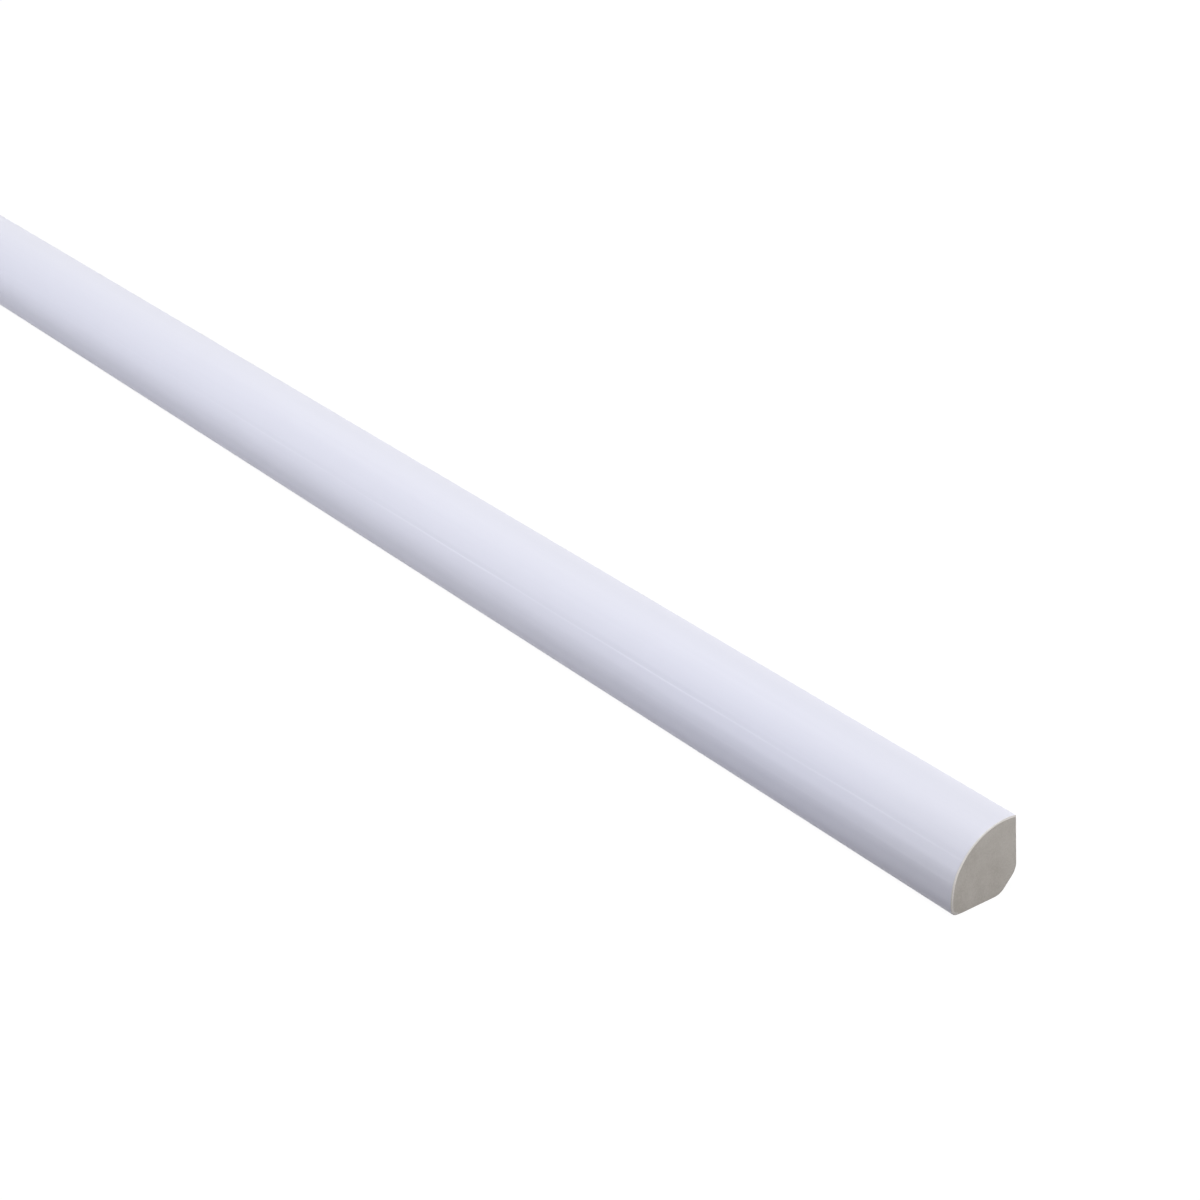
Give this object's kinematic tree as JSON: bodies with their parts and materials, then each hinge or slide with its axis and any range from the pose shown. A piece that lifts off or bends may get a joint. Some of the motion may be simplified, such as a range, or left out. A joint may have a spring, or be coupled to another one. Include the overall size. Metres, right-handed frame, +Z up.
{
  "type": "quarter round moulding",
  "caption": "Straight length of white-faced quarter round moulding: rounded front, flat back and bottom, relieved back corner, for covering the joint of a wall and a floor.",
  "frame": {"origin": "middle of the length and of the width, on the plane of the bottom face", "axes": "+X along the length, +Y from the rounded front to the flat back that goes against the wall, +Z up"},
  "size_m": [2.4384, 0.019, 0.019],
  "materials": {
    "white_faced_fibreboard": "satin"
  },
  "bodies": {
    "root": {"quarter_round": "white_faced_fibreboard"}
  },
  "joints": []
}
